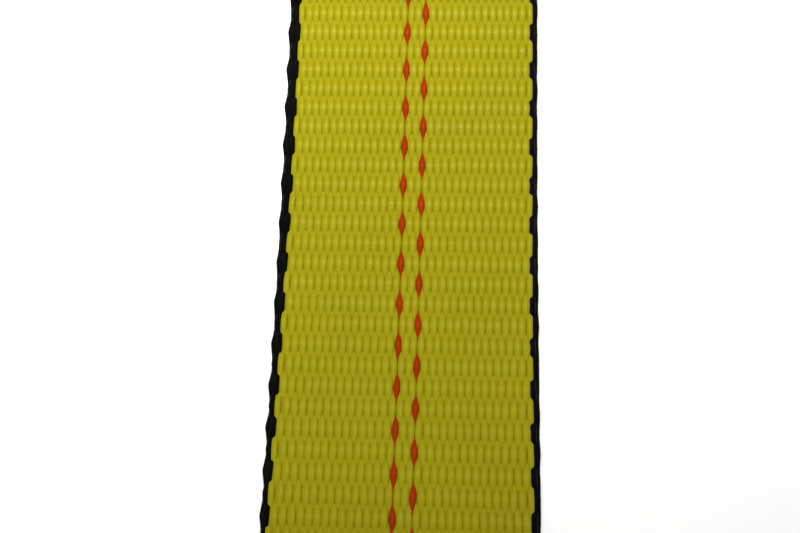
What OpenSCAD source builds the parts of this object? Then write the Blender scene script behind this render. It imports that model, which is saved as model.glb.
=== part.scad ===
// Ratchet tie-down for 50 mm webbing: a ratchet buckle, a short fixed strap and a long rolled strap,
// each strap with a flat hook. The strap width lies along X, the assembly runs along Y and rests on Z = 0.

/* [Webbing] */
// Width of the webbing
web_w = 50; // [46:1:51]
// Thickness of one layer of webbing
web_t = 2.6; // [2.2:0.1:2.8]
// Outer radius of the rolled-up strap
roll_r = 62; // [50:1:66]
// Length of strap that lies flat between the roll and the start of the rise
flat_len = 104; // [90:1:130]
// Length over which the strap lifts off the ground
rise_len = 80; // [70:1:90]
// Slope of the strap at the end of the rise
rise_slope = 9; // [8:0.5:10]
// Distance from the anchor bolt to the hook of the short strap
short_len = 130; // [120:5:300]

/* [Buckle] */
// Clear width between the side plates of the base frame
frame_in = 54; // [54:0.5:56]
// Thickness of the side plates of the frame and the handle
plate_t = 3; // [2.5:0.1:3.2]
// Height of the spool axis above the ground
spool_z = 36; // [36:0.5:40]
// Distance from the end of the rise to the spool axis
spool_run = 68; // [60:1:76]
// Radius of the two half-round spool bars
spool_r = 9.5; // [9:0.1:10]
// Distance from the spool axis to the anchor bolt
bolt_run = 88; // [86:1:100]
// Distance from the spool axis to the crossbar of the handle
handle_len = 138; // [134:1:150]
// Outer radius of the rubber grip
grip_r = 12; // [10:0.5:13]

/* [Ratchet wheel] */
// Number of teeth
teeth = 12; // [12:1:12]
// Radius at the tips of the teeth
tip_r = 26; // [25:0.5:26]
// Radius at the roots of the teeth
root_r = 20; // [19:0.5:20.5]
// Thickness of the two pawl plates
pawl_t = 3.4; // [3:0.1:3.4]
// Direction of the drive pawl from the spool, with the handle closed
drive_dir = 8; // [8:1:8]

/* [Hooks] */
// Thickness of the hook plate
hook_t = 5; // [4:0.5:5]
// Width of the hook at its throat
hook_w = 48; // [40:1:50]
// Inner radius of the hook's throat
throat_r = 8; // [7:0.5:9]
// Distance from the loop bar to the centre of the throat
throat_run = 46; // [40:1:55]

/* [Hidden] */

$fn = 96;
fit = 0.2;                        // clearance of a part that turns in a hole
gap = 0.4;                        // side clearance between stacked plates
frame_x = frame_in / 2;           // inner face of a frame plate
wheel_x = frame_x + plate_t + gap;
wheel_t = 4;
arm_x = wheel_x + wheel_t + gap;  // inner face of a handle arm
washer_x = arm_x + plate_t + 0.3;
washer_t = 1.5;
washer_r = 14;
pin_x = washer_x + washer_t + 1.8;
spool_x = pin_x + 2;              // end of the spool bars
pin_r = 1.5;
pin_half = 12.5;                  // half of a pin's length, below its round head
slot_half = 1.6;                  // half of the slot between the spool bars

pitch = 360 / teeth;
lock_dir = drive_dir - pitch;
cam_r = tip_r + 1;                // radius of the frame's cams, just outside the teeth
pawl_tip = root_r + 1.5;          // where an engaged pawl ends
pawl_half = pawl_t / 2;
drive_rest = cam_r + 0.5;         // the drive pawl rests just clear of the cams and the teeth
drive_window = [38, 72];          // window of the drive pawl, from the spool axis
drive_stop = 62;                  // face of the handle tab that the drive spring bears on
drive_end = 100;
lock_end = 50;
lock_stop = 71;                   // face of the frame tab that the locking springs bear on
lock_spring_x = 11;
spring_wire = 1.3;
spring_r = 4;
spring_turns = 7;
spring_fit = 0.05;                // space between a spring's end and its seat
tongue_half = 2;                  // half the width of a tongue that holds a spring
tongue_len = 6;

winding_r = spool_r + 0.25 + 2 * web_t + 0.25;
wrap_gap = 0.3;                   // the standing strap clears the turning winding by this much

bolt_r = 5;
hex_r = 9.2;                      // corner radius of the bolt's head and nut
bolt_drop = 20;                   // the anchor bolt lies this far below the spool axis
sleeve_r = 7;
loop_gap = 0.3;                   // clearance of the strap loop around its sleeve
bar_len = 9;                      // the hook's loop bar, along the hook
bar_loop_r = 6;                   // inner radius of the strap loop around the loop bar
bar_z = bar_loop_r + web_t + 0.1; // height of the loop bar's axis
slot_len = 8;
slot_half_w = web_w / 2 + 2;
hook_half_w = slot_half_w + 6;

// Positions along Y, first counted from the middle of the strap's rise
rise_half = rise_len / 2;
roll_y0 = -rise_half - flat_len;
spool_y0 = rise_half + spool_run;
bolt_y0 = spool_y0 + bolt_run;
short_y0 = bolt_y0 + short_len;
tail_bend = 45;                   // reach of the tail's bend from the roll to the ground
tail_flat = 55;
tail_y0 = roll_y0 - roll_r - web_t / 2 - tail_bend - tail_flat;
throat_z = hook_t / 2 + throat_r;
bend_r = throat_r + hook_t;
hook_arm = norm([throat_run, throat_z]);
// The hook is tilted about its bar until its bend touches the ground
hook_tilt = atan2(throat_z, throat_run) - asin((bend_r - bar_z) / hook_arm);
mid_y = (short_y0 + tail_y0) / 2; // both hooks reach equally far, so this is the middle of the whole
roll_y = roll_y0 - mid_y;
spool_y = spool_y0 - mid_y;
bolt_y = bolt_y0 - mid_y;
bolt_z = spool_z - bolt_drop;
short_y = short_y0 - mid_y;
tail_y = tail_y0 - mid_y;
rise_y = -mid_y;                  // middle of the strap's rise

// ---- helpers ----

// Extrudes an outline in the Y-Z plane from x0 to x1
module slab(x0, x1) {
    translate([x0, 0, 0]) rotate([90, 0, 90]) linear_extrude(x1 - x0) children();
}

// The same slab on the left and on the right
module both_sides(x0, x1) {
    slab(x0, x1) children();
    slab(-x1, -x0) children();
}

// A block between two corners
module block(low, high) {
    translate(low) cube(high - low);
}

// A cylinder along X
module rod(x0, x1, r) {
    translate([x0, 0, 0]) rotate([0, 90, 0]) cylinder(h = x1 - x0, r = r);
}

module at_spool() {
    translate([0, spool_y, spool_z]) children();
}

module at_bolt() {
    translate([0, bolt_y, bolt_z]) children();
}

// Turns the Y axis to a direction in the Y-Z plane
module along(angle) {
    rotate([angle, 0, 0]) children();
}

// Two circles joined by their outer tangents
module link_outline(p1, r1, p2, r2) {
    v = p2 - p1;
    heading = atan2(v.y, v.x);
    spread = acos((r1 - r2) / norm(v));
    translate(p1) circle(r1);
    translate(p2) circle(r2);
    polygon([
        for (s = [-1, 1]) p1 + r1 * [cos(heading + s * spread), sin(heading + s * spread)],
        for (s = [1, -1]) p2 + r2 * [cos(heading + s * spread), sin(heading + s * spread)]
    ]);
}

// A rectangle with rounded corners, from corner to corner
module rounded_outline(low, high, r) {
    for (x = [low.x + r, high.x - r], y = [low.y + r, high.y - r]) translate([x, y]) circle(r);
    translate([low.x + r, low.y]) square([high.x - low.x - 2 * r, high.y - low.y]);
    translate([low.x, low.y + r]) square([high.x - low.x, high.y - low.y - 2 * r]);
}

function smooth(u) = u * u * (3 - 2 * u);

// Unit normal of a polyline at point i
function normal_at(pts, i) =
    let (a = pts[max(i - 1, 0)], b = pts[min(i + 1, len(pts) - 1)], d = (b - a) / norm(b - a))
    [-d.y, d.x];

// Outline of a band of constant thickness along a polyline
function band(pts, half) = concat(
    [for (i = [0 : len(pts) - 1]) pts[i] + half * normal_at(pts, i)],
    [for (i = [len(pts) - 1 : -1 : 0]) pts[i] - half * normal_at(pts, i)]
);

// A coil spring along Y, as a ring of sides swept along a helix
module coil(length, radius, wire, turns) {
    sides = 6;
    steps = 14;
    rings = turns * steps;
    reach = length - wire;
    points = [
        for (i = [0 : rings], j = [0 : sides - 1])
            let (a = 360 * i / steps, b = 360 * j / sides, r = radius + wire / 2 * cos(b))
            [r * sin(a), wire / 2 + reach * i / rings + wire / 2 * sin(b), r * cos(a)]
    ];
    skin = [
        for (i = [0 : rings - 1], j = [0 : sides - 1])
            let (k = (j + 1) % sides)
            [i * sides + j, (i + 1) * sides + j, (i + 1) * sides + k, i * sides + k]
    ];
    first = [for (j = [0 : sides - 1]) j];
    last = [for (j = [sides - 1 : -1 : 0]) rings * sides + j];
    polyhedron(points, concat([first, last], skin));
}

// ---- base frame ----

// Side plate: spool boss, two cams, the body down to the ground and the anchor boss
module frame_outline() {
    difference() {
        union() {
            circle(root_r - 1);
            cam_sector(-pitch, 34);
            cam_sector(158, 192);
            polygon([
                [-15, -10], [4, -spool_z], [bolt_run - 4, -spool_z],
                [bolt_run + 8, -bolt_drop], [bolt_run - 8, 1], [24, 1], [10, 14]
            ]);
            translate([bolt_run, -bolt_drop]) circle(13);
        }
        circle(spool_r + fit);
        translate([bolt_run, -bolt_drop]) circle(bolt_r + fit);
        rotate(drive_dir) translate([pawl_tip - 0.5, -pawl_half - 0.3])
            square([cam_r, pawl_t + 0.6]);
        rotate(lock_dir) translate([pawl_tip - 0.5, -pawl_half - 0.25])
            square([20, pawl_t + 0.5]);
    }
}

// Part of a disc with the cam radius, between two directions
module cam_sector(from, to) {
    far = 2 * cam_r;
    intersection() {
        circle(cam_r);
        polygon([[0, 0], far * [cos(from), sin(from)], far * [cos(to), sin(to)]]);
    }
}

module base_frame() color("silver") at_spool() {
    web = 2.5;
    both_sides(frame_x, frame_x + plate_t) frame_outline();
    difference() {
        block([-frame_x - 1, 28, -spool_z], [frame_x + 1, bolt_run - 14, -spool_z + web]);
        translate([0, 46, -spool_z - 1]) linear_extrude(web + 2)
            rounded_outline([-16, -9], [16, 9], 4);
    }
    along(lock_dir) block([-20, lock_stop, -9], [20, lock_stop + web, 6]);
}

module anchor_bolt() color("silver") at_bolt() {
    head = 6.4;
    x = frame_x + plate_t;
    rod(-x, x + 10, bolt_r);
    translate([-x - head, 0, 0]) rotate([0, 90, 0]) cylinder(h = head, r = hex_r, $fn = 6);
}

module anchor_nut() color("silver") at_bolt() difference() {
    translate([frame_x + plate_t, 0, 0]) rotate([0, 90, 0]) cylinder(h = 8, r = hex_r, $fn = 6);
    rod(frame_x, frame_x + 20, bolt_r + 0.02);
}

module anchor_sleeve() color("gray") at_bolt() difference() {
    rod(-frame_x + 0.3, frame_x - 0.3, sleeve_r);
    rod(-frame_x, frame_x, bolt_r + 0.1);
}

// ---- locking pawl ----

module locking_pawl() color("dimgray") at_spool() along(lock_dir) {
    half = frame_x - 0.4;
    ear = wheel_x + wheel_t;
    block([-half, pawl_tip + 1.5, -pawl_half], [half, lock_end, pawl_half]);
    block([-ear, pawl_tip, -pawl_half], [ear, pawl_tip + 12, pawl_half]);
    // tongues that hold the springs
    for (x = [-lock_spring_x, lock_spring_x])
        block([x - tongue_half, lock_end - 1, -pawl_half + 0.4],
              [x + tongue_half, lock_end + tongue_len, pawl_half - 0.4]);
}

module locking_spring(x) color("lightsteelblue") at_spool() along(lock_dir)
    translate([x, lock_end + spring_fit, 0])
        coil(lock_stop - lock_end - 2 * spring_fit, spring_r, spring_wire, spring_turns);

// ---- spool ----

// One half-round bar, with a hole at each end for a retaining pin
module spool_bar() {
    difference() {
        slab(-spool_x, spool_x) intersection() {
            circle(spool_r);
            translate([-spool_r, slot_half]) square([2 * spool_r, spool_r]);
        }
        for (x = [-pin_x, pin_x]) translate([x, 0, 0]) cylinder(h = spool_r + 1, r = pin_r + 0.1);
    }
}

module spool_bar_upper() color("gainsboro") at_spool() spool_bar();

module spool_bar_lower() color("gainsboro") at_spool() mirror([0, 0, 1]) spool_bar();

// Tooth with a steep flank beside each pawl and a sloping back
module wheel_outline() {
    flank = pawl_half + 0.25;
    land = 4;
    difference() {
        union() {
            circle(root_r);
            for (k = [0 : teeth - 1]) rotate(drive_dir + k * pitch) polygon([
                [root_r - 2, flank],
                [sqrt(tip_r * tip_r - flank * flank), flank],
                tip_r * [cos(asin(flank / tip_r) + land), sin(asin(flank / tip_r) + land)],
                (root_r - 0.3) * [cos(pitch - 8), sin(pitch - 8)],
                (root_r - 4) * [cos(pitch / 2), sin(pitch / 2)]
            ]);
        }
        for (m = [0, 1]) mirror([0, m]) intersection() {
            circle(spool_r + 0.1);
            translate([-spool_r - 1, slot_half - 0.1]) square([2 * spool_r + 2, spool_r + 1]);
        }
    }
}

module ratchet_wheel(side) color("dimgray") at_spool()
    slab(side * (wheel_x + wheel_t / 2) - wheel_t / 2, side * (wheel_x + wheel_t / 2) + wheel_t / 2)
        wheel_outline();

module retaining_washer(side) color("silver") at_spool()
    slab(side * (washer_x + washer_t / 2) - washer_t / 2, side * (washer_x + washer_t / 2) + washer_t / 2)
        difference() {
            circle(washer_r);
            circle(spool_r + 0.1);
        }

module retaining_pin(side) color("silver") at_spool() translate([side * pin_x, 0, 0]) {
    translate([0, 0, -pin_half]) cylinder(h = 2 * pin_half, r = pin_r);
    translate([0, 0, spool_r + 2]) sphere(1.65);
}

// Webbing wound on the spool, with the strap through the slot
module spool_winding() color("gold") at_spool() slab(-web_w / 2, web_w / 2) {
    difference() {
        circle(winding_r);
        circle(spool_r + 0.25);
    }
    square([2 * spool_r + 2, web_t], center = true);
}

// ---- handle ----

module arm_outline() {
    difference() {
        link_outline([0, 0], 24, handle_len * [cos(drive_dir), sin(drive_dir)], 10);
        circle(spool_r + fit);
        rotate(drive_dir) {
            translate([handle_len, 0]) circle(bolt_r + 0.1);
            translate([27, -pawl_half - 0.3]) square([20, pawl_t + 0.6]);
        }
    }
}

module handle_frame() color("silver") at_spool() {
    web = 2.5;
    both_sides(arm_x, arm_x + plate_t) arm_outline();
    along(drive_dir) {
        block([-arm_x - 1, 50, 9], [arm_x + 1, 86, 9 + web]);
        // tab that the drive spring bears on, through the window of the drive pawl
        block([-9, drive_stop, -4.5], [9, drive_stop + web, 9 + web / 2]);
    }
}

module handle_crossbar() color("silver") at_spool() along(drive_dir) translate([0, handle_len, 0]) {
    end = arm_x + plate_t;
    rod(-end - 0.1, end + 0.1, bolt_r);
    for (s = [-1, 1]) rod(s * (end + 1.35) - 1.25, s * (end + 1.35) + 1.25, 8);
}

module handle_grip() color("black") at_spool() along(drive_dir) translate([0, handle_len, 0])
    difference() {
        union() {
            rod(-arm_x + 0.5, arm_x - 0.5, grip_r - 1.5);
            rod(-arm_x + 4, arm_x - 4, grip_r);
        }
        rod(-arm_x, arm_x, bolt_r + 0.1);
    }

module drive_pawl() color("dimgray") at_spool() along(drive_dir) {
    half = arm_x - 0.4;
    ear = arm_x + plate_t + 1;
    difference() {
        union() {
            block([-half, drive_rest, -pawl_half], [half, 48, pawl_half]);
            block([-ear, 33, -pawl_half], [ear, 43, pawl_half]);
            block([-24, 40, -pawl_half], [24, drive_end, pawl_half]);
        }
        block([-13, drive_window[0], -5], [13, drive_window[1], 5]);
    }
    // tongue that holds the spring
    block([-tongue_half, drive_window[0] - 1, -pawl_half + 0.4],
          [tongue_half, drive_window[0] + tongue_len, pawl_half - 0.4]);
}

// Moulded finger pull on the end of the drive pawl
module release_pull() color("black") at_spool() along(drive_dir) difference() {
    block([-28, drive_end - 16, -5], [28, drive_end + 5, 5]);
    block([-24.1, drive_end - 20, -pawl_half - 0.05], [24.1, drive_end + 0.1, pawl_half + 0.05]);
}

module drive_spring() color("lightsteelblue") at_spool() along(drive_dir)
    translate([0, drive_window[0] + spring_fit, 0])
        coil(drive_stop - drive_window[0] - 2 * spring_fit, spring_r, spring_wire, spring_turns);

// ---- straps ----

module strap_roll() color("gold") translate([0, roll_y, roll_r]) rod(-web_w / 2, web_w / 2, roll_r);

function rise_curve() = tan(rise_slope) / (2 * rise_len);
function rise_end() = [rise_y + rise_half, web_t / 2 + rise_curve() * rise_len * rise_len];

// Middle line of the long strap, from the roll to the underside of the winding
function long_line() =
    let (
        r = winding_r + wrap_gap + web_t / 2,
        start = 280,
        stop = 318,
        p0 = rise_end(),
        p1 = [spool_y, spool_z] + r * [cos(start), sin(start)],
        run = p1.x - p0.x,
        s0 = tan(rise_slope) * run,
        s1 = tan(start + 90) * run
    )
    concat(
        [[roll_y + 4, web_t / 2], [rise_y - rise_half, web_t / 2]],
        [for (i = [1 : 10])
            let (d = rise_len * i / 10) [rise_y - rise_half + d, web_t / 2 + rise_curve() * d * d]],
        [for (i = [1 : 7])
            let (u = i / 8, h = smooth(u))
            [p0.x + u * run,
             p0.y * (1 - h) + p1.y * h + s0 * u * (1 - u) * (1 - u) - s1 * u * u * (1 - u)]],
        [for (a = [start : 4.75 : stop]) [spool_y, spool_z] + r * [cos(a), sin(a)]]
    );

module long_strap() color("gold") slab(-web_w / 2, web_w / 2) difference() {
    polygon(band(long_line(), web_t / 2));
    translate([roll_y, roll_r]) circle(roll_r + 0.05);
}

// Outside of a loop of strap around the point c, whose double layer leaves towards p, seen from c
function loop_back(c, inner_r, p) =
    let (
        r = inner_r + web_t,
        heading = atan2(p.y, p.x),
        spread = acos(r / norm(p)),
        sweep = 360 - 2 * spread
    )
    [for (i = [0 : 24]) let (a = heading + spread + sweep * i / 24) c + r * [cos(a), sin(a)]];

// The space inside a loop: round at the bar and pointed where the two layers meet
module loop_hole(inner_r, p) {
    apex = 0.6 * norm(p);
    spread = acos(inner_r / apex);
    side = 0.9 * inner_r * [cos(spread), sin(spread)];
    circle(inner_r);
    rotate(atan2(p.y, p.x)) polygon([side, [0, 0], [side.x, -side.y], [apex, 0]]);
}

// A line beside a polyline, to its left by half
function above(pts, half) = [for (i = [0 : len(pts) - 1]) pts[i] + half * normal_at(pts, i)];

// Height of the middle of a double layer, from a bar at height z0 down to the ground
function settle(u, z0) = web_t + (z0 - web_t) * smooth(max(0, 1 - u));

loop_reach = 22;
sewn_len = 40;

// Middle line of the sewn double layer beside a hook's bar, from the bar's side outwards
function sewn_line(length) = [
    for (i = [0 : 8]) let (d = loop_reach + (length - loop_reach) * i / 8) [d, settle(d / length, bar_z)]
];

module short_strap() color("gold") slab(-web_w / 2, web_w / 2) {
    drop = 60;
    bolt = [bolt_y, bolt_z];
    bar = [short_y, bar_z];
    near_bolt = [
        for (i = [0 : 8]) let (d = loop_reach + (drop - loop_reach) * i / 8)
            [bolt_y + d, settle(d / drop, bolt_z)]
    ];
    near_hook = [for (i = [8 : -1 : 0]) let (q = sewn_line(sewn_len)[i]) [short_y - q.x, q.y]];
    line = concat(near_bolt, near_hook);
    to_bolt = near_bolt[0] - bolt;
    to_hook = near_hook[8] - bar;
    difference() {
        polygon(concat(
            above(line, -web_t),
            loop_back(bar, bar_loop_r, to_hook),
            [for (i = [len(line) - 1 : -1 : 0]) above(line, web_t)[i]],
            loop_back(bolt, sleeve_r + loop_gap, to_bolt)
        ));
        translate(bolt) loop_hole(sleeve_r + loop_gap, to_bolt);
        translate(bar) loop_hole(bar_loop_r, to_hook);
    }
}

// Tail of the long strap: down the side of the roll, out along the ground and around the hook's bar
module tail_strap() color("gold") slab(-web_w / 2, web_w / 2) {
    bend_y = roll_y - roll_r - web_t / 2 - tail_bend;
    bar = [tail_y, bar_z];
    double = [for (q = sewn_line(sewn_len)) [tail_y + q.x, q.y]];
    single = concat(
        [[tail_y + sewn_len, web_t / 2]],
        [for (i = [12 : -1 : 0]) let (a = 90 * i / 12)
            [bend_y + tail_bend * cos(a), roll_r - (roll_r - web_t / 2) * sin(a)]]
    );
    to_bar = double[0] - bar;
    difference() {
        polygon(concat(
            above(double, -web_t),
            above(single, -web_t / 2),
            [for (i = [len(single) - 1 : -1 : 0]) above(single, web_t / 2)[i]],
            [for (i = [len(double) - 1 : -1 : 0]) above(double, web_t)[i]],
            loop_back(bar, bar_loop_r, to_bar)
        ));
        translate(bar) loop_hole(bar_loop_r, to_bar);
        translate([roll_y, roll_r]) circle(roll_r + 0.05);
    }
}

// ---- hooks ----

// Flat hook: loop bar and webbing slot, tapering plate, rolled throat and return lip
module flat_hook() along(-hook_tilt) {
    lip = 24;
    plate_end = throat_run;
    difference() {
        translate([0, 0, -hook_t / 2]) linear_extrude(hook_t) {
            rounded_outline([-hook_half_w, -bar_len / 2], [hook_half_w, bar_len / 2 + slot_len + 4], 4);
            polygon([
                [-hook_half_w, bar_len / 2 + slot_len], [hook_half_w, bar_len / 2 + slot_len],
                [hook_w / 2, bar_len / 2 + slot_len + 16], [hook_w / 2, plate_end],
                [-hook_w / 2, plate_end], [-hook_w / 2, bar_len / 2 + slot_len + 16]
            ]);
        }
        translate([0, 0, -hook_t]) linear_extrude(2 * hook_t)
            rounded_outline([-slot_half_w, bar_len / 2], [slot_half_w, bar_len / 2 + slot_len], 2);
    }
    slab(-hook_w / 2, hook_w / 2) {
        translate([plate_end, throat_z]) difference() {
            circle(bend_r);
            circle(throat_r);
            translate([-2 * bend_r, -bend_r]) square(2 * bend_r);
        }
        translate([plate_end - lip, throat_z + throat_r]) square([lip, hook_t]);
        translate([plate_end - lip, throat_z + throat_r + hook_t / 2]) circle(hook_t / 2);
    }
}

module hook_short_end() color("silver") translate([0, short_y, bar_z]) flat_hook();

module hook_long_end() color("silver") translate([0, tail_y, bar_z]) rotate([0, 0, 180]) flat_hook();

base_frame();
anchor_bolt();
anchor_nut();
anchor_sleeve();
locking_pawl();
locking_spring(-lock_spring_x);  // locking_spring_left
locking_spring(lock_spring_x);  // locking_spring_right
spool_bar_upper();
spool_bar_lower();
ratchet_wheel(-1);  // ratchet_wheel_left
ratchet_wheel(1);  // ratchet_wheel_right
retaining_washer(-1);  // retaining_washer_left
retaining_washer(1);  // retaining_washer_right
retaining_pin(-1);  // retaining_pin_left
retaining_pin(1);  // retaining_pin_right
spool_winding();
handle_frame();
handle_crossbar();
handle_grip();
drive_pawl();
release_pull();
drive_spring();
strap_roll();
long_strap();
tail_strap();
short_strap();
hook_short_end();
hook_long_end();
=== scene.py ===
"""Ratchet tie-down: woven webbing, ratchet buckle and two flat hooks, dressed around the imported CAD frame."""

import math

import bmesh
import bpy
import numpy as np
from mathutils import Matrix, Vector


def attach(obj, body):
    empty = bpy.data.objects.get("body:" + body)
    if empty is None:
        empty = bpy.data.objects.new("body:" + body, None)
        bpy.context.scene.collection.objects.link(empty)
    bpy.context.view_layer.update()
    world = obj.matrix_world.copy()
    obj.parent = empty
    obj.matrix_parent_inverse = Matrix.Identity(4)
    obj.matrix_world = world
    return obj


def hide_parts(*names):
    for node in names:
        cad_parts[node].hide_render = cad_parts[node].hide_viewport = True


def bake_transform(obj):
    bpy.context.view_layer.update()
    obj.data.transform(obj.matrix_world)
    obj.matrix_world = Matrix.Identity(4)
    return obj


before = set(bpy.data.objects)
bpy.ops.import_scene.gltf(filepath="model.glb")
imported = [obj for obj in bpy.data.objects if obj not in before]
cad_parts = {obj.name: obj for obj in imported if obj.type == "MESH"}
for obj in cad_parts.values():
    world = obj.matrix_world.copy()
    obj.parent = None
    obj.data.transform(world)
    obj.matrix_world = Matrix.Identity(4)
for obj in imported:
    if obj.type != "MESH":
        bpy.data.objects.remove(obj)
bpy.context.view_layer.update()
scene = bpy.context.scene
MM = 0.001
rng = np.random.default_rng(50)

# ---- sizes that part.scad also holds, in millimetres ----

WEB_W, WEB_T = 50.0, 2.6
ROLL_R, FLAT_LEN, RISE_LEN, RISE_SLOPE = 62.0, 104.0, 80.0, math.radians(9)
SPOOL_Z, SPOOL_R, SPOOL_RUN, BOLT_RUN = 36.0, 9.5, 68.0, 88.0
HANDLE_LEN, DRIVE_DIR, LOCK_DIR = 138.0, math.radians(8), math.radians(-22)
SLEEVE_R, LOOP_GAP, BAR_LOOP_R, BAR_Z = 7.0, 0.3, 6.0, 8.7
TAIL_BEND, SEWN_LEN, LOOP_REACH, BOLT_DROP_LEN = 45.0, 40.0, 22.0, 60.0
MID_Y = 9.35                     # how far the middle of the whole lies from the middle of the rise
ROLL_Y = -RISE_LEN / 2 - FLAT_LEN - MID_Y
RISE_Y = -MID_Y
SPOOL_Y = RISE_LEN / 2 + SPOOL_RUN - MID_Y
BOLT_Y, BOLT_Z = SPOOL_Y + BOLT_RUN, 16.0
HOOK_Y = 316.65
SPOOL_CENTRE = (SPOOL_Y, SPOOL_Z)
WINDING_R = SPOOL_R + 0.5 + 2 * WEB_T


# ---- camera ----

def look(aim, distance, elevation, azimuth, roll):
    """A camera at a distance from the aim point, in millimetres and degrees."""
    e, a, r = (math.radians(q) for q in (elevation, azimuth, roll))
    forward = Vector((math.sin(a) * math.cos(e), math.cos(a) * math.cos(e), -math.sin(e)))
    right = Vector((math.cos(a), -math.sin(a), 0))
    up = right.cross(forward)
    right, up = right * math.cos(r) + up * math.sin(r), up * math.cos(r) - right * math.sin(r)
    data = bpy.data.cameras.new("camera")
    data.lens, data.sensor_width, data.clip_start, data.clip_end = 50, 36, 0.01, 20
    camera = bpy.data.objects.new("camera", data)
    scene.collection.objects.link(camera)
    turn = Matrix((right, up, -forward)).transposed().to_4x4()
    camera.matrix_world = Matrix.Translation((Vector(aim) - forward * distance) * MM) @ turn
    scene.camera = camera


look(aim=(-0.79, -26.72, 10), distance=204.3, elevation=70.67, azimuth=-10.57, roll=-9.15)


# ---- materials ----


def principled(name, color, rough, **sockets):
    """A new material and its shader; sockets are named with underscores for spaces."""
    mat = bpy.data.materials.new(name)
    mat.use_nodes = True
    bsdf = mat.node_tree.nodes["Principled BSDF"]
    bsdf.inputs["Base Color"].default_value = (*color, 1)
    bsdf.inputs["Roughness"].default_value = rough
    for socket, value in sockets.items():
        bsdf.inputs[socket.replace("_", " ")].default_value = value
    return mat, bsdf


def add(mat, kind, values=(), **props):
    """A new shader node, with values for its inputs and settings for its properties."""
    node = mat.node_tree.nodes.new("ShaderNode" + kind)
    for key, value in props.items():
        setattr(node, key, value)
    for key, value in dict(values).items():
        node.inputs[key].default_value = value
    return node


def link(mat, source, target):
    mat.node_tree.links.new(source, target)


def ramp(mat, source, stops):
    """A colour ramp over a factor, from (position, colour) stops."""
    node = add(mat, "ValToRGB")
    while len(node.color_ramp.elements) < len(stops):
        node.color_ramp.elements.new(0.5)
    for element, (place, color) in zip(node.color_ramp.elements, stops):
        element.position = place
        element.color = (*color, 1)
    link(mat, source, node.inputs["Fac"])
    return node.outputs["Color"]


def bump(mat, bsdf, height, strength, distance):
    """Chains a bump onto the shader's normal."""
    node = add(mat, "Bump", {"Strength": strength, "Distance": distance})
    link(mat, height, node.inputs["Height"])
    before = bsdf.inputs["Normal"].links
    if before:
        link(mat, before[0].from_socket, node.inputs["Normal"])
    link(mat, node.outputs["Normal"], bsdf.inputs["Normal"])


def yarn_material(name, shades, rough, gloss, shine=0.5):
    """Filament yarn: streaks along the yarn, a shade of its own for each end, faint soiling, and painted shade
    in the grooves.
    The attribute lay holds the place across the yarn, the place along it and a random shade;
    crest is 1 where this side of the yarn is on top and 0 where it is deepest."""
    mat, bsdf = principled(name, shades[1], rough, Specular_IOR_Level=shine, Specular_Tint=(*gloss, 1))
    lay = add(mat, "Attribute", attribute_name="lay")
    stretch = add(mat, "Mapping", {"Scale": (5.5, 0.22, 1)})
    link(mat, lay.outputs["Vector"], stretch.inputs["Vector"])
    streaks = add(mat, "TexNoise", {"Scale": 1.6, "Detail": 3, "Roughness": 0.6})
    link(mat, stretch.outputs["Vector"], streaks.inputs["Vector"])
    place = add(mat, "TexCoord")
    cloud = add(mat, "TexNoise", {"Scale": 55, "Detail": 4, "Roughness": 0.55})
    link(mat, place.outputs["Object"], cloud.inputs["Vector"])
    mix = add(mat, "MixRGB", {"Fac": 0.35})
    link(mat, streaks.outputs["Fac"], mix.inputs["Color1"])
    link(mat, cloud.outputs["Fac"], mix.inputs["Color2"])
    color = ramp(mat, mix.outputs["Color"], list(zip((0.34, 0.48, 0.64), shades)))
    # painted shade: where an end dives between its neighbours its colour is a little darker; it is also duller
    # there
    crest = add(mat, "Attribute", attribute_name="crest")
    groove_painted_shade = ramp(mat, crest.outputs["Fac"], [(0.1, (0.96, 0.96, 0.96)), (0.45, (1, 1, 1))])
    shade = add(mat, "MixRGB", {"Fac": 1.0}, blend_type="MULTIPLY")
    link(mat, color, shade.inputs["Color1"])
    link(mat, groove_painted_shade, shade.inputs["Color2"])
    link(mat, shade.outputs["Color"], bsdf.inputs["Base Color"])
    dull = add(mat, "MapRange", {"From Min": 0.25, "From Max": 0.65, "To Min": 0.65, "To Max": rough})
    link(mat, crest.outputs["Fac"], dull.inputs["Value"])
    link(mat, dull.outputs["Result"], bsdf.inputs["Roughness"])
    bump(mat, bsdf, streaks.outputs["Fac"], 0.25, 0.0001)
    return mat


YELLOW = yarn_material(
    "webbing_yellow", [(0.220, 0.188, 0.0006), (0.247, 0.226, 0.0012), (0.265, 0.222, 0.0008)],
    0.36, (1, 0.93, 0.3), 0.8)
BLACK = yarn_material(
    "webbing_black", [(0.0008, 0.0008, 0.0007), (0.0016, 0.0016, 0.0014), (0.0028, 0.0028, 0.0024)],
    0.5, (0.1, 0.1, 0.08))
RED = yarn_material(
    "webbing_red", [(0.21, 0.015, 0.0008), (0.245, 0.021, 0.001), (0.285, 0.029, 0.0015)],
    0.32, (1, 0.25, 0.08))
WEBBING = {"yellow": YELLOW, "black": BLACK, "red": RED}


def uneven_gloss(mat, bsdf, cloud, low, high):
    """Roughness from low to high, after a noise."""
    gloss = add(mat, "MapRange", {"From Min": 0.3, "From Max": 0.7, "To Min": low, "To Max": high})
    link(mat, cloud.outputs["Fac"], gloss.inputs["Value"])
    link(mat, gloss.outputs["Result"], bsdf.inputs["Roughness"])


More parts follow.
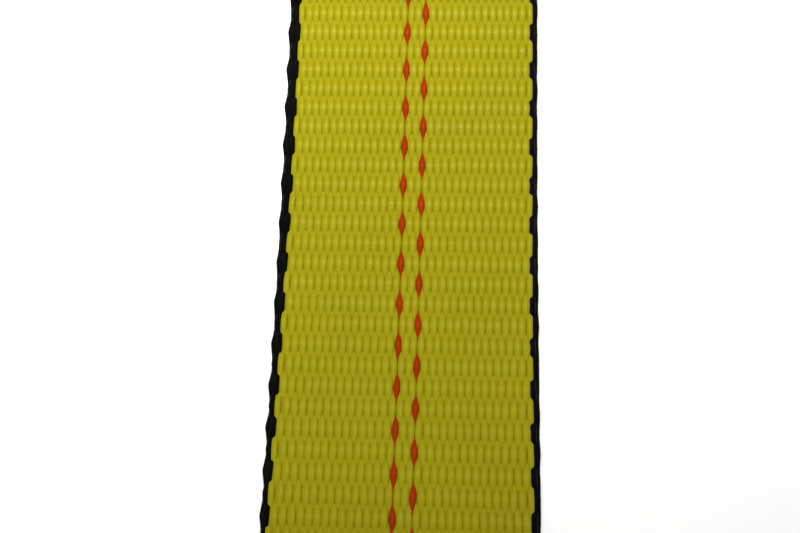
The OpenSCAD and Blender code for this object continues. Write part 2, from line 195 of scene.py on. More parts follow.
def steel(name, colors, rough, scale, brushed=(1, 1, 1), wear=0.25):
    """Plated or plain steel: a cloudy tone, uneven gloss, fine brushing and a faintly uneven surface."""
    mat, bsdf = principled(name, colors[1], sum(rough) / 2, Metallic=1.0)
    place = add(mat, "TexCoord")
    cloud = add(mat, "TexNoise", {"Scale": scale, "Detail": 6, "Roughness": 0.6})
    link(mat, place.outputs["Object"], cloud.inputs["Vector"])
    stretch = add(mat, "Mapping", {"Scale": brushed})
    link(mat, place.outputs["Object"], stretch.inputs["Vector"])
    fine = add(mat, "TexNoise", {"Scale": 900, "Detail": 3, "Roughness": 0.65})
    link(mat, stretch.outputs["Vector"], fine.inputs["Vector"])
    spots = add(mat, "TexVoronoi", {"Scale": scale * 5}, feature="F1")
    link(mat, place.outputs["Object"], spots.inputs["Vector"])
    mix = add(mat, "MixRGB", {"Fac": wear})
    link(mat, cloud.outputs["Fac"], mix.inputs["Color1"])
    link(mat, spots.outputs["Distance"], mix.inputs["Color2"])
    link(mat, ramp(mat, mix.outputs["Color"], list(zip((0.3, 0.5, 0.68), colors))), bsdf.inputs["Base Color"])
    uneven_gloss(mat, bsdf, cloud, *rough)
    bump(mat, bsdf, fine.outputs["Fac"], 0.25, 0.00005)
    bump(mat, bsdf, cloud.outputs["Fac"], 0.15, 0.0002)
    return mat


def molded(name, shades, rough, grain):
    """Rubber or plastic with a fine moulded grain."""
    mat, bsdf = principled(name, shades[1], rough, Specular_IOR_Level=0.45)
    place = add(mat, "TexCoord")
    cloud = add(mat, "TexNoise", {"Scale": 60, "Detail": 5})
    link(mat, place.outputs["Object"], cloud.inputs["Vector"])
    link(mat, ramp(mat, cloud.outputs["Fac"], list(zip((0.35, 0.65), shades))), bsdf.inputs["Base Color"])
    skin = add(mat, "TexNoise", {"Scale": grain, "Detail": 2})
    link(mat, place.outputs["Object"], skin.inputs["Vector"])
    bump(mat, bsdf, skin.outputs["Fac"], 0.4, 0.0001)
    uneven_gloss(mat, bsdf, cloud, rough - 0.08, rough + 0.12)
    return mat


ZINC = steel("zinc_steel", [(0.46, 0.47, 0.49), (0.55, 0.56, 0.58), (0.63, 0.64, 0.65)], (0.28, 0.46), 70)
BOLT = steel("bolt_steel", [(0.42, 0.40, 0.34), (0.54, 0.50, 0.40), (0.62, 0.59, 0.50)], (0.26, 0.42), 120)
PAWL = steel("pawl_steel", [(0.34, 0.33, 0.30), (0.43, 0.42, 0.38), (0.50, 0.49, 0.45)], (0.30, 0.46), 110,
             brushed=(1, 0.08, 1))
SPOOL = steel("spool_steel", [(0.36, 0.36, 0.37), (0.46, 0.46, 0.47), (0.54, 0.54, 0.55)], (0.24, 0.4), 120,
              brushed=(0.08, 1, 1))
WHEEL = steel("wheel_steel", [(0.24, 0.24, 0.25), (0.33, 0.33, 0.34), (0.42, 0.42, 0.42)], (0.32, 0.5), 130,
              wear=0.4)
SPRING = steel("spring_steel", [(0.5, 0.5, 0.5), (0.58, 0.58, 0.58), (0.66, 0.66, 0.66)], (0.2, 0.34), 200)
HOOK = steel("hook_steel", [(0.44, 0.45, 0.46), (0.53, 0.54, 0.55), (0.60, 0.61, 0.62)], (0.32, 0.5), 55,
             wear=0.45)
RUBBER = molded("grip_rubber", [(0.012, 0.012, 0.012), (0.022, 0.022, 0.023)], 0.6, 2200)
PLASTIC = molded("pull_plastic", [(0.016, 0.017, 0.018), (0.03, 0.031, 0.033)], 0.45, 1600)
THREAD = yarn_material("thread", [(0.004, 0.004, 0.004), (0.010, 0.010, 0.010), (0.018, 0.018, 0.017)],
                       0.5, (0.5, 0.5, 0.5))


# ---- mesh tools ----

def attribute(mesh, name, kind, field, values):
    """A point attribute of a mesh."""
    mesh.attributes.new(name, kind, "POINT").data.foreach_set(field, np.asarray(values, np.float32).ravel())


def make(name, points, faces, mat, body, smooth=True, lay=None, crest=None):
    """A mesh piece from millimetre points; it rides on a body, if it has one."""
    mesh = bpy.data.meshes.new(name)
    mesh.from_pydata((np.asarray(points, float) * MM).tolist(), [], faces)
    mesh.validate()
    if smooth:
        mesh.shade_smooth()
    if lay is not None:
        attribute(mesh, "lay", "FLOAT_VECTOR", "vector", lay)
    if crest is not None:
        attribute(mesh, "crest", "FLOAT", "value", crest)
    mesh.materials.append(mat)
    obj = bpy.data.objects.new(name, mesh)
    scene.collection.objects.link(obj)
    if body:
        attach(obj, body)
    return obj


def tube_faces(rings, sides, start):
    """Faces of a tube of rings with capped ends; start is the index of its first point."""
    i, j = (q.ravel() for q in np.meshgrid(np.arange(rings - 1), np.arange(sides), indexing="ij"))
    k = (j + 1) % sides
    quads = np.stack([i * sides + j, i * sides + k, (i + 1) * sides + k, (i + 1) * sides + j], 1)
    caps = [start + np.arange(sides)[::-1], start + (rings - 1) * sides + np.arange(sides)]
    return (start + quads).tolist() + [cap.tolist() for cap in caps]


def arc_lengths(line):
    """A polyline in the Y-Z plane as an array, and the arc length at each of its points."""
    line = np.asarray(line, float)
    return line, np.concatenate([[0], np.cumsum(np.hypot(*np.diff(line, axis=0).T))])


def arc_to(line, y):
    """Arc length from a line's first point to where it passes y."""
    line, arc = arc_lengths(line)
    return float(np.interp(y, line[:, 0], arc))


def resample(line, step):
    """Points a step apart along a polyline, their arc lengths and their normals."""
    line, arc = arc_lengths(line)
    count = max(4, int(round(arc[-1] / step)) + 1)
    s = np.linspace(0, arc[-1], count)
    p = np.stack([np.interp(s, arc, line[:, 0]), np.interp(s, arc, line[:, 1])], 1)
    d = np.gradient(p, s, axis=0)
    d /= np.linalg.norm(d, axis=1)[:, None]
    return p, s, np.stack([-d[:, 1], d[:, 0]], 1)


# ---- webbing ----
# Each warp end is a real yarn that swings from one face to the other; neighbours are half a period apart.

PERIOD = 7.986                   # one rise and fall of an end, measured along the strap
END_PITCH = 0.746
TRACER_X = -1.11                 # where end 0, the left tracer, lies
FIRST_END, LAST_END = -32, 35
TRACERS = (0, 5)
BLACK_LEFT, BLACK_RIGHT = 3, 2   # how many ends are black at each edge
SWING, HALF_H, HALF_W = 0.33, 0.86, 0.83
ROOF = 0.32                      # how far the crest of a float is a ridge and not a round wave
SQUARE_X, SQUARE_Z = 0.6, 0.4    # powers that square off the section: 1 is an ellipse
WAIST, TRACER_WAIST = 0.77, 0.50  # width of an end where it passes between its neighbours
FULLER, BESIDE, TRACER = 1.09, 0.98, 0.93  # widths of a yellow end, one beside a tracer, and a tracer
JITTER = 0.04                    # how far an end wanders at random
# the yellow and black ends that meet at each selvedge are packed tighter than the rest
SELVEDGE_PAIRS = (FIRST_END + BLACK_LEFT - 1, FIRST_END + BLACK_LEFT,
                  LAST_END - BLACK_RIGHT, LAST_END - BLACK_RIGHT + 1)
SELVEDGE_WIDTH = (0.54, 0.60)
DRIFT_PERIOD = 260
# (end, sideways shift, how much that shift changes by the middle of a drift period)
DRIFT = [(FIRST_END, 0.58, 0.45), (FIRST_END + BLACK_LEFT - 0.5, 0.15, -0.6), (FIRST_END + 10, 0, 0),
         (TRACERS[0], 0, 0), (TRACERS[1], -0.16, 0), (LAST_END - 9, -0.16, 0),
         (LAST_END - 1.5, -0.24, 0.2), (LAST_END, -0.91, 0.42)]
WEFT_IN, WEFT_HALF_T = 1.4, 0.3  # how far the weft stays inside the edges, and half its thickness
PIECE_FACES = 190000             # a piece of more faces than this is split by its ends


def end_color(j):
    if j in TRACERS:
        return "red"
    return "black" if j < FIRST_END + BLACK_LEFT or j > LAST_END - BLACK_RIGHT else "yellow"


def fullness(j):
    """How wide an end is against the plain width; the yellow ends beside a tracer leave it room."""
    if j in TRACERS:
        return TRACER
    if end_color(j) == "black":
        return 1.0
    return BESIDE if min(abs(j - t) for t in TRACERS) == 1 else FULLER


def drift(j, s):
    """How far an end wanders sideways, mostly near the selvedges, with a slow change along the strap."""
    places, still, moved = zip(*DRIFT)
    w = 0.5 - 0.5 * np.cos(2 * np.pi * s / DRIFT_PERIOD)
    return np.interp(j, places, still) + np.interp(j, places, moved) * w


def yarns(p, n, s, ends, sides):
    """Points, faces and the attributes lay and crest of warp ends along a line, from its points p,
    normals n and arc lengths s."""
    angle = 2 * np.pi * (np.arange(sides) + 0.25 * (sides % 4)) / sides
    cx, cz = (np.sign(q) * np.abs(q) ** power for q, power in
              ((np.cos(angle), SQUARE_X), (np.sin(angle), SQUARE_Z)))
    points, faces, lay, crest = [], [], [], []
    for j in ends:
        phase = 2 * np.pi * s / PERIOD + (np.pi if j % 2 else 0)
        jitter = JITTER * np.sin(2 * np.pi * s / (5.1 + 3 * rng.random()) + 6.3 * rng.random())
        roof = 1 - 2 * np.arccos(np.cos(phase)) / np.pi
        wave = (1 - ROOF) * np.cos(phase) + ROOF * roof
        waist = TRACER_WAIST if j in TRACERS else WAIST
        width = HALF_W * (waist + (1 - waist) * np.abs(roof))
        height = HALF_H
        x = TRACER_X + END_PITCH * j + drift(j, s) + jitter
        if end_color(j) == "black":
            from_edge = min(j - FIRST_END, LAST_END - j)
            sway, least = (-0.12, 0.86) if j < 0 else (0.02, 0.95)
            x = x + sway * np.cos(phase)
            width = np.maximum(width, HALF_W * least)
            height = height * (0.78 + 0.08 * from_edge)
        if j in SELVEDGE_PAIRS:
            width = np.clip(width, *SELVEDGE_WIDTH)
        width = width * fullness(j)
        offset = SWING * wave[:, None] + height * cz[None, :]
        ring = np.empty((len(s), sides, 3))
        ring[:, :, 0] = x[:, None] + width[:, None] * cx[None, :]
        ring[:, :, 1:] = p[:, None] + n[:, None] * offset[:, :, None]
        faces += tube_faces(len(s), sides, len(points) * len(s) * sides)
        points.append(ring.reshape(-1, 3))
        shade = 20 * rng.random()
        across, along_yarn = np.broadcast_arrays(angle[None, :] * HALF_W, s[:, None])
        lay.append(np.stack([across, along_yarn, np.full(across.shape, shade)], -1).reshape(-1, 3))
        # crest also drives the painted groove shade and the duller gloss in the yarn material
        crest.append((0.5 + 0.5 * wave[:, None] * np.sign(cz)[None, :]).ravel())
    return np.concatenate(points), faces, np.concatenate(lay), np.concatenate(crest)


def core(name, p, n, half_w, half_t, body, rise=0.0):
    """The weft of a strap: a thin closed band inside the warp, shifted along the normal by rise."""
    half, shift = (np.broadcast_to(q, len(p))[:, None] for q in (half_t, rise))
    z = half * np.array([-0.4, -1, -1, -0.4, 0.4, 1, 1, 0.4]) + shift
    rings = np.empty((len(p), 8, 3))
    rings[:, :, 0] = half_w * np.array([-1, -0.99, 0.99, 1, 1, 0.99, -0.99, -1])
    rings[:, :, 1:] = p[:, None] + n[:, None] * z[:, :, None]
    return make(name, rings.reshape(-1, 3), tube_faces(len(p), 8, 0), YELLOW, body, smooth=False,
                lay=np.zeros((len(p) * 8, 3)))


def webbing(name, line, origin, body, step, sides, node=None, held="laid", pressed=False):
    """A strap along a line of (y, z) points; origin is the arc length of the line's first point.
    Where a pressed strap is off the ground, its weft fills the space to the layer inside it."""
    p, s, n = resample(line, step)
    s = s + origin
    weft_p, _, weft_n = resample(line, max(step, 1.0))
    press = np.clip((weft_p[:, 1] - 4) / 6, 0, 1) * pressed
    band = core(name + "_weft", weft_p, weft_n, WEB_W / 2 - WEFT_IN, WEFT_HALF_T + 0.72 * press, body,
                rise=0.28 * press)
    for color in ("yellow", "red", "black"):
        ends = [j for j in range(FIRST_END, LAST_END + 1) if end_color(j) == color]
        per = max(1, PIECE_FACES // (len(s) * sides * 2)) if color == "yellow" else len(ends)
        for k in range(0, len(ends), per):
            tag = f"{name}_{color}" + (f"_{k // per + 1}" if len(ends) > per else "")
            points, faces, lay, crest = yarns(p, n, s, ends[k:k + per], sides)
            make(tag, points, faces, WEBBING[color], body, lay=lay, crest=crest)
    if node:
        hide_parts(node)


def smooth01(u):
    return u * u * (3 - 2 * u)


def on_circle(center, r, angle):
    """A point on a circle, at an angle in degrees from +Y towards +Z."""
    a = math.radians(angle)
    return center[0] + r * math.cos(a), center[1] + r * math.sin(a)


def arc_points(center, r, start, stop, step=1.5):
    """Points on a circle, from angle to angle."""
    count = max(2, int(abs(stop - start) / step))
    return [on_circle(center, r, a) for a in np.linspace(start, stop, count + 1)]


RISE_K = math.tan(RISE_SLOPE) / (2 * RISE_LEN)
RISE_START = RISE_Y - RISE_LEN / 2
WIND_FROM, WIND_TO = 280, 318    # angles where the strap meets the winding's underside and joins it
ON_GROUND = WEB_T / 2            # height of the middle of a strap that lies on the ground


def rise_points(to):
    """The strap's middle line over its rise, up to a distance from where it leaves the ground."""
    return [(RISE_START + d, ON_GROUND + RISE_K * d * d) for d in np.linspace(0, to, 60)]


def spool_approach():
    """From the end of the rise to the underside of the winding."""
    r = WINDING_R + 0.3 + WEB_T / 2
    y0, z0 = RISE_Y + RISE_LEN / 2, ON_GROUND + RISE_K * RISE_LEN ** 2
    y1, z1 = on_circle(SPOOL_CENTRE, r, WIND_FROM)
    run = y1 - y0
    s0, s1 = math.tan(RISE_SLOPE) * run, math.tan(math.radians(WIND_FROM + 90)) * run
    path = []
    for u in np.linspace(0, 1, 24)[1:-1]:
        h = smooth01(u)
        path.append((y0 + u * run, z0 * (1 - h) + z1 * h + s0 * u * (1 - u) ** 2 - s1 * u * u * (1 - u)))
    return path + arc_points(SPOOL_CENTRE, r, WIND_FROM, WIND_TO)


def soften(line, passes=6, step=1.0):
    """A polyline with its corners rounded; its two ends stay."""
    p = resample(line, step)[0]
    for _ in range(passes):
        p[1:-1] = (p[:-2] + 2 * p[1:-1] + p[2:]) / 4
    return [tuple(q) for q in p]


NEAR_Y, FAR_Y = -84.0, 40.0      # the stretch of strap with the finest yarns
COARSE = {"step": 0.9, "sides": 6}
rise = rise_points(RISE_LEN)
approach = spool_approach()
whole = [(ROLL_Y, ON_GROUND), (NEAR_Y, ON_GROUND)] + rise + approach
# the left tracer is on top at arc position 0, which lies 23.61 mm beyond where the strap passes y = 0.65
zero = arc_to(whole, 0.65) + 23.61
close = [(NEAR_Y, ON_GROUND)] + rise + [q for q in approach if q[0] < FAR_Y]
beyond = [close[-1]] + [q for q in approach if q[0] >= FAR_Y]
near_origin = arc_to(whole, NEAR_Y) - zero
webbing("long_strap_near", close, near_origin, "frame", 0.333, 12, "long_strap")
webbing("long_strap_far", soften(beyond, 2), arc_to(whole, close[-1][0]) - zero, "frame",
        held="stretched", **COARSE)

# The roll: the strap is folded in half and rolled, so two layers spiral out together
LAYER = 2.66
TURNS = 10
LONG_OUT, TAIL_OUT = 150, -120   # angles where each layer leaves the inner turns
LANDS = 270                      # angle where the roll touches the ground
inner = 90.0 - 360 * TURNS       # angle of the fold


def spiral(start, stop, layer):
    """Points on one of the two spirals, from angle to angle in degrees; both run outwards with the angle."""
    path = []
    for a in np.arange(start, stop + 0.01, 3.0):
        r = ROLL_R - WEB_T / 2 - 2 * LAYER * (LANDS - a) / 360 + (LAYER if layer == "tail" else 0)
        path.append(on_circle((ROLL_Y, ROLL_R), r, a))
    return path


fold = soften(spiral(inner, TAIL_OUT, "tail")[::-1] + spiral(inner, LONG_OUT, "long"), 1, 2.0)
outer_turn = spiral(LONG_OUT, LANDS, "long") + [(NEAR_Y, ON_GROUND)]
outer_turn_len = NEAR_Y - ROLL_Y + math.radians(LANDS - LONG_OUT) * 60
webbing("roll_long_turn", outer_turn, near_origin - outer_turn_len, "frame",
        node="strap_roll", held="laid", pressed=True, **COARSE)


def inner_layers():
    """The turns inside the roll: a plain band with its black selvedge yarns, seen at the roll's sides."""
    p, s, n = resample(fold, 2.0)
    band = core("roll_inner_band", p, n, WEB_W / 2 - 1.6, LAYER / 2 - 0.005, "frame")
    for side, ends in (("left", (FIRST_END, FIRST_END + 1)), ("right", (LAST_END - 1, LAST_END))):
        points, faces, lay, crest = yarns(p, n, s, ends, 6)
        make("roll_inner_" + side, points, faces, BLACK, "frame", lay=lay, crest=crest)


inner_layers()


def settle(u, z0):
    """Height of the middle of a double layer, from a bar at height z0 down to the ground."""
    return WEB_T + (z0 - WEB_T) * smooth01(max(0.0, 1 - u))


def layers(bar_y, bar_z, way, length, side):
    """One layer of a double strap beside a bar: way is its direction, side is 1 for the upper layer."""
    d = np.linspace(LOOP_REACH, length, 16)
    c = np.array([(bar_y + way * q, settle(q / length, bar_z)) for q in d])
    t = np.gradient(c, axis=0) * way
    t /= np.linalg.norm(t, axis=1)[:, None]
    up = np.stack([-t[:, 1], t[:, 0]], 1)
    return [tuple(q) for q in c + side * WEB_T / 2 * up]


def around(bar_y, bar_z, r, lower, upper):
    """A double strap and its loop round the far side of a bar, from the lower layer's start to the
    upper layer's end."""
    return lower[::-1] + arc_points((bar_y, bar_z), r, 290, 70, 8) + upper


bar_r = BAR_LOOP_R + WEB_T / 2
tail_top = spiral(TAIL_OUT, 180, "tail")
drop_y = tail_top[-1][0] - TAIL_BEND
tail_bend = [(drop_y + TAIL_BEND * math.cos(q), ROLL_R - (ROLL_R - ON_GROUND) * math.sin(q))
             for q in np.linspace(0, math.pi / 2, 40)][1:]
tail_upper = layers(-HOOK_Y, BAR_Z, 1, SEWN_LEN, 1)
tail_loop = around(-HOOK_Y, BAR_Z, bar_r, layers(-HOOK_Y, BAR_Z, 1, SEWN_LEN, -1), tail_upper)
tail_line = soften(tail_top + tail_bend + [(-HOOK_Y + SEWN_LEN + 4, ON_GROUND)] + tail_loop
                   + [(-HOOK_Y + SEWN_LEN + 5, 3 * ON_GROUND)], 6)
webbing("tail_strap", tail_line, 3.0 * PERIOD, "frame", node="tail_strap", held="laid", **COARSE)

# The short strap is a ring of webbing, sewn flat between its two loops
bolt_upper = layers(BOLT_Y, BOLT_Z, 1, BOLT_DROP_LEN, 1)
hook_upper = layers(HOOK_Y, BAR_Z, -1, SEWN_LEN, 1)
bolt_loop = around(BOLT_Y, BOLT_Z, SLEEVE_R + LOOP_GAP + WEB_T / 2,
                   layers(BOLT_Y, BOLT_Z, 1, BOLT_DROP_LEN, -1), bolt_upper)
hook_loop = arc_points((HOOK_Y, BAR_Z), bar_r, 110, -110, 8)
middle_y = (BOLT_Y + HOOK_Y) / 2
short_line = soften([(middle_y, ON_GROUND)] + bolt_loop + hook_upper[::-1] + hook_loop
                    + layers(HOOK_Y, BAR_Z, -1, SEWN_LEN, -1) + [(middle_y + 0.5, ON_GROUND)], 5)
webbing("short_strap", short_line, 0.0, "short_strap", node="short_strap", held="folded", **COARSE)


def winding_line():
    """Two layers round the spool, the inner one entering the slot between the bars."""
    inner_r, outer_r = WINDING_R - 1.5 * WEB_T - 0.1, WINDING_R - WEB_T / 2 - 0.05
    step_in, stepped = 600, 678      # angles between which the strap moves from the outer to the inner layer
    path = arc_points(SPOOL_CENTRE, outer_r, WIND_TO, step_in, 4)
    for a in np.arange(step_in + 4, stepped, 4.0):
        u = smooth01((a - step_in) / (stepped - step_in))
        path.append(on_circle(SPOOL_CENTRE, outer_r + (inner_r - outer_r) * u, a))
    path += arc_points(SPOOL_CENTRE, inner_r, stepped, 1070, 4)
    return soften(path + [(SPOOL_Y + 10.6, SPOOL_Z + 0.4), (SPOOL_Y - 9, SPOOL_Z)], 3)


webbing("spool_winding", winding_line(), 0.0, "spool", node="spool_winding", held="folded", **COARSE)


# ---- stitching ----

def stitches(name, line, rows, body):
    """Stitches over a strap's surface. A row is (x0, y0, x1, y1): its ends across the strap and along Y."""
    p, _, n = resample(line, 0.5)
    order = np.argsort(p[:, 0])
    points, faces = [], []
    sides, rings, pitch, bite, thread_r = 6, 7, 3.0, 0.4, 0.27
    angle = 2 * np.pi * np.arange(sides) / sides
    t = np.linspace(-1, 1, rings)
    height = SWING + HALF_H + 0.12 - bite * np.abs(t) ** 4
    radius = thread_r * np.sqrt(np.clip(1 - 0.7 * t ** 6, 0, 1))[:, None, None]
    for x0, y0, x1, y1 in rows:
        length = math.hypot(x1 - x0, y1 - y0)
        across = np.array([(y1 - y0) / length, -(x1 - x0) / length, 0])
        count = max(1, int(length / pitch))
        for k in range(count):
            u = (k + np.linspace(0.06, 0.94, rings)) / count
            x, y = x0 + (x1 - x0) * u, y0 + (y1 - y0) * u
            z = np.interp(y, p[order, 0], p[order, 1])
            m = np.stack([np.interp(y, p[order, 0], n[order, q]) for q in (0, 1)], 1)
            m *= np.sign(m[:, 1:])
            centre = np.stack([x, y + m[:, 0] * height, z + m[:, 1] * height], 1)
            up = np.stack([np.zeros(rings), m[:, 0], m[:, 1]], 1)
            ring = centre[:, None] + radius * (np.cos(angle)[None, :, None] * across
                                               + np.sin(angle)[None, :, None] * up[:, None])
            faces += tube_faces(rings, sides, len(points) * rings * sides)
            points.append(ring.reshape(-1, 3))
    q = np.concatenate(points)
    lay = np.zeros_like(q)
    lay[:, 1] = q[:, 1]
    return make(name, q, faces, THREAD, body, lay=lay, crest=np.ones(len(q)))


def sewn_block(y0, y1):
    """A box of stitches with zigzag rows inside it."""
    rows = [(-19, y0, 19, y0), (-19, y1, 19, y1), (-19, y0, -19, y1), (19, y0, 19, y1)]
    bends = 6
    for x in (-14, -7, 0, 7, 14):
        for k in range(bends):
            a, b = (y0 + (y1 - y0) * q / bends for q in (k, k + 1))
            shift = 2 if k % 2 else -2
            rows.append((x - shift, a, x + shift, b))
    return rows


stitches("short_strap_stitches_hook", soften(hook_upper + [(HOOK_Y - SEWN_LEN - 30, 1.5 * WEB_T)], 4),
         sewn_block(HOOK_Y - 60, HOOK_Y - 28), "short_strap")
stitches("short_strap_stitches_bolt", soften(bolt_upper, 4), sewn_block(BOLT_Y + 28, BOLT_Y + 54),
         "short_strap")
stitches("tail_strap_stitches", soften(tail_upper, 4), sewn_block(-HOOK_Y + 25, -HOOK_Y + 41), "frame")


# ---- steel parts ----

def apply_modifiers(obj):
    """Replaces the mesh of obj by the mesh that its modifiers make."""
    bpy.context.view_layer.update()
    before = obj.data
    made = bpy.data.meshes.new_from_object(obj.evaluated_get(bpy.context.evaluated_depsgraph_get()))
    obj.modifiers.clear()
    obj.data = made
    bpy.data.meshes.remove(before)


def outward(work, mesh):
    """Writes a bmesh back to its mesh with all faces turned outwards."""
    bmesh.ops.recalc_face_normals(work, faces=work.faces)
    work.to_mesh(mesh)
    work.free()


def dressed(node, name, mat, body, width):
    """The CAD part with its edges rounded, in place of the CAD node."""
    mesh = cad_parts[node].data.copy()
    mesh.name = name
    work = bmesh.new()
    work.from_mesh(mesh)
    bmesh.ops.remove_doubles(work, verts=work.verts, dist=2e-6)
    bmesh.ops.dissolve_limit(work, angle_limit=math.radians(1), verts=work.verts, edges=work.edges)
    outward(work, mesh)
    mesh.materials.clear()
    mesh.materials.append(mat)
    obj = bpy.data.objects.new(name, mesh)
    scene.collection.objects.link(obj)
    edge = obj.modifiers.new("edge", "BEVEL")
    edge.width, edge.segments, edge.limit_method = width * MM, 3 if width > 0.6 else 2, "ANGLE"
    edge.angle_limit = math.radians(32)
    apply_modifiers(obj)
    obj.data.shade_smooth()
    obj.data.set_sharp_from_angle(angle=math.radians(28))
    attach(obj, body)
    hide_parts(node)


# CAD node, its dressed piece, material, body and the width of its rounded edges
DRESSED = [
    ("base_frame", "base_frame_plates", ZINC, "frame", 0.4),
    ("anchor_bolt", "anchor_bolt_body", BOLT, "frame", 0.5),
    ("anchor_nut", "anchor_nut_body", BOLT, "frame", 0.5),
    ("anchor_sleeve", "anchor_sleeve_tube", SPOOL, "frame", 0.3),
    ("locking_pawl", "locking_pawl_plate", PAWL, "locking_pawl", 0.3),
    ("spool_bar_upper", "spool_bar_upper_body", SPOOL, "spool", 0.4),
    ("spool_bar_lower", "spool_bar_lower_body", SPOOL, "spool", 0.4),
    ("ratchet_wheel_left", "ratchet_wheel_left_body", WHEEL, "spool", 0.3),
    ("ratchet_wheel_right", "ratchet_wheel_right_body", WHEEL, "spool", 0.3),
    ("retaining_washer_left", "retaining_washer_left_ring", ZINC, "spool", 0.3),
    ("retaining_washer_right", "retaining_washer_right_ring", ZINC, "spool", 0.3),
    ("retaining_pin_left", "retaining_pin_left_body", BOLT, "spool", 0.3),
    ("retaining_pin_right", "retaining_pin_right_body", BOLT, "spool", 0.3),
    ("handle_frame", "handle_frame_plates", ZINC, "handle", 0.4),
    ("handle_crossbar", "handle_crossbar_rod", BOLT, "handle", 0.5),
    ("drive_pawl", "drive_pawl_plate", PAWL, "drive_pawl", 0.3),
    ("release_pull", "release_pull_shell", PLASTIC, "drive_pawl", 1.6),
    ("hook_short_end", "hook_short_end_plate", HOOK, "hook_short", 0.8),
    ("hook_long_end", "hook_long_end_plate", HOOK, "hook_long", 0.8),
]
for row in DRESSED:
    dressed(*row)


def along(points, angle):
    """Points given from the spool's axis, with Y running away from it at an angle, in the scene's frame."""
    q = np.asarray(points, float)
    c, s = math.cos(angle), math.sin(angle)
    return np.stack([q[..., 0], SPOOL_Y + c * q[..., 1] - s * q[..., 2],
                     SPOOL_Z + s * q[..., 1] + c * q[..., 2]], -1)


def coil_spring(name, node, x, start, stop, angle):
    """A compression spring with closed end turns, between two distances from the spool.
    It is made in place and rides on no body."""
    radius, wire, turns, steps, sides, clear, closed = 4.0, 0.62, 7.0, 20, 8, 0.1, 0.85
    rings = int(turns * steps) + 1
    a = np.linspace(0, 2 * np.pi * turns, rings)
    u = np.linspace(0, 1, rings)
    b = 2 * np.pi * np.arange(sides) / sides
    r = radius + wire * np.cos(b)[None, :]
    first, last = start + wire + clear, stop - wire - clear
    y = first + (last - first) * (u - closed * np.sin(2 * np.pi * u) / (2 * np.pi))[:, None] + wire * np.sin(b)
    q = np.stack([x + r * np.sin(a)[:, None], y, r * np.cos(a)[:, None]], -1).reshape(-1, 3)
    obj = make(name, along(q, angle), tube_faces(rings, sides, 0), SPRING, None)
    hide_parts(node)
    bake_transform(obj)


for side, x in (("left", -11), ("right", 11)):
    coil_spring(f"locking_spring_{side}_coil", f"locking_spring_{side}", x, 50, 71, LOCK_DIR)
coil_spring("drive_spring_coil", "drive_spring", 0, 38, 62, DRIVE_DIR)


def grip_profile():
    """Ribbed rubber sleeve with a flange at each end."""
    half, bore, low, high = 34.3, 5.15, 10.9, 12.0
    outer = [(-half, bore + 0.3), (-half, 10.0), (-half + 0.5, 10.5), (-30.8, 10.5)]
    pitch, ribs = 3.4, 18
    start = -pitch * ribs / 2
    for k in range(ribs):
        x = start + k * pitch
        outer += [(x + 0.15, low), (x + 0.55, high - 0.25), (x + 0.9, high), (x + pitch - 0.95, high),
                  (x + pitch - 0.6, high - 0.25), (x + pitch - 0.2, low)]
    outer += [(30.8, 10.5), (half - 0.5, 10.5), (half, 10.0), (half, bore + 0.3)]
    return outer + [(half - 0.3, bore), (-half + 0.3, bore)]


def grip_sleeve(sides=72):
    """The grip: its profile turned around the handle's crossbar."""
    profile = grip_profile()
    count = len(profile)
    q = [(x, HANDLE_LEN + r * math.cos(t), r * math.sin(t))
         for t in 2 * np.pi * np.arange(sides) / sides for x, r in profile]
    faces = []
    for i in range(sides):
        for j in range(count):
            k, m = (j + 1) % count, (i + 1) % sides
            faces.append((i * count + j, m * count + j, m * count + k, i * count + k))
    obj = make("handle_grip_sleeve", along(q, DRIVE_DIR), faces, RUBBER, "handle")
    obj.data.set_sharp_from_angle(angle=math.radians(40))
    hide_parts("handle_grip")


grip_sleeve()


def rib_points(side, length, width, height, rows=12, cols=40):
    """Points of a long rounded rib that stands up along X: its skin and then its flat back, from 0 to
    length along Y; with the faces between them."""
    sink, back = 0.15, 0.4           # how deep the rib's rim and its back lie in the plate
    half = width / 2
    skin = []
    for y in np.linspace(0, length, cols + 1):
        from_end = min(y, length - y)
        reach = half if from_end >= half else math.sqrt(max(half ** 2 - (half - from_end) ** 2, 0.04))
        for b in np.linspace(-1, 1, rows + 1):
            rise_x = height * (1 - abs(b) ** 2.4) * min(1.0, reach / half)
            skin.append((side * (rise_x - sink), y, reach * b))
    top, w = len(skin), rows + 1
    faces = []
    for i in range(cols):
        for j in range(rows):
            k = i * w + j
            faces += [(k, k + 1, k + w + 1, k + w), (top + k, top + k + w, top + k + w + 1, top + k + 1)]
    rim = list(range(w)) + [i * w + rows for i in range(1, cols + 1)]
    rim += [cols * w + j for j in range(rows - 1, -1, -1)] + [i * w for i in range(cols - 1, 0, -1)]
    faces += [(a, top + a, top + b, b) for a, b in zip(rim, rim[1:] + rim[:1])]
    return np.array(skin + [(-side * back, y, z) for _, y, z in skin]), faces


def pressed(name, points, faces, angle, body, mat):
    """A rib as a piece, from points given from the spool's axis at an angle."""
    obj = make(name, along(points, angle), faces, mat, body)
    work = bmesh.new()
    work.from_mesh(obj.data)
    outward(work, obj.data)
    obj.data.set_sharp_from_angle(angle=math.radians(50))


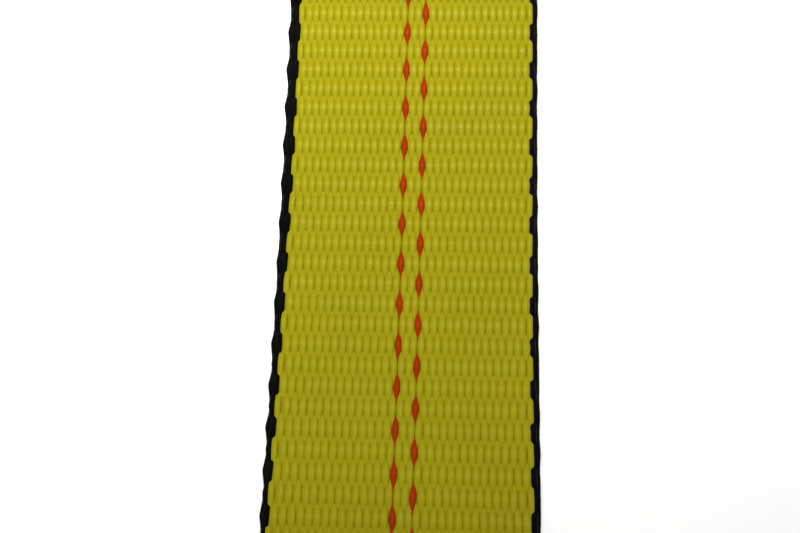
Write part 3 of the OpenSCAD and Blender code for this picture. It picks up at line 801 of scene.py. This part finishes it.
for side, tag in ((-1, "left"), (1, "right")):
    points, faces = rib_points(side, 60, 11, 1.1)
    pressed("handle_rib_" + tag, points + (side * 37.8, 56, 0), faces, DRIVE_DIR, "handle", ZINC)
    points, faces = rib_points(side, 44, 8, 0.9)
    pressed("base_rib_" + tag, points + (side * 30.0, 30, -27), faces, 0, "frame", ZINC)
points, faces = rib_points(1, 44, 1.6, 0.8)
for k, y in enumerate((88.5, 91.5, 94.5, 97.5)):
    # the ridges of the finger pull run along X and stand up along Z
    ridge = points[:, [1, 2, 0]] + (-22, y, 5.0)
    pressed(f"release_pull_ridge_{k + 1}", ridge, faces, DRIVE_DIR, "drive_pawl", PLASTIC)


# ---- floor and light ----

def add_light(name, kind, place, aim, power, glossy=True, **props):
    """A light at a place, aimed at a point, with settings for its own kind."""
    data = bpy.data.lights.new(name, kind)
    data.energy = power
    for key, value in props.items():
        setattr(data, key, value)
    obj = bpy.data.objects.new(name, data)
    scene.collection.objects.link(obj)
    obj.location = place
    obj.rotation_euler = (Vector(aim) - Vector(place)).to_track_quat("-Z", "Y").to_euler()
    obj.visible_glossy = glossy
    obj.visible_camera = False


def floor(half=20):
    mat, bsdf = principled("floor", (0.97, 0.97, 0.97), 0.7)
    noise = add(mat, "TexNoise", {"Scale": 3, "Detail": 2})
    color = ramp(mat, noise.outputs["Fac"], [(0.3, (0.96, 0.96, 0.96)), (0.7, (0.98, 0.98, 0.98))])
    link(mat, color, bsdf.inputs["Base Color"])
    mesh = bpy.data.meshes.new("floor")
    mesh.from_pydata([(-half, -half, 0), (half, -half, 0), (half, half, 0), (-half, half, 0)], [],
                     [(0, 1, 2, 3)])
    mesh.materials.append(mat)
    obj = bpy.data.objects.new("floor", mesh)
    scene.collection.objects.link(obj)


def studio(horizon, top, strength):
    """A world of greys, from the horizon's to the one higher up."""
    world = bpy.data.worlds.new("studio")
    scene.world = world
    world.use_nodes = True
    place = add(world, "TexCoord")
    height = add(world, "SeparateXYZ")
    link(world, place.outputs["Generated"], height.inputs["Vector"])
    color = ramp(world, height.outputs["Z"], [(0.0, (horizon,) * 3), (0.45, (top,) * 3)])
    background = world.node_tree.nodes["Background"]
    link(world, color, background.inputs["Color"])
    background.inputs["Strength"].default_value = strength


floor()
studio(0.83, 0.2, 0.9)
add_light("strip", "AREA", (0, 0.27, 0.9), (0, 0.11, 0), 0.4, shape="RECTANGLE", size=1.2, size_y=0.12,
          spread=0.43)
add_light("overhead", "SUN", (0, 0, 1.4), (0, 0, 0), 2.2, glossy=False, angle=0.8)
add_light("buckle_light", "SPOT", (-0.09, 0.10, 1.0), (-0.09, 0.10, 0), 60, glossy=False,
          spot_size=0.38, spot_blend=1.0, shadow_soft_size=0.1)
scene.view_settings.view_transform = "Standard"
scene.view_settings.look = "None"

bpy.context.view_layer.update()
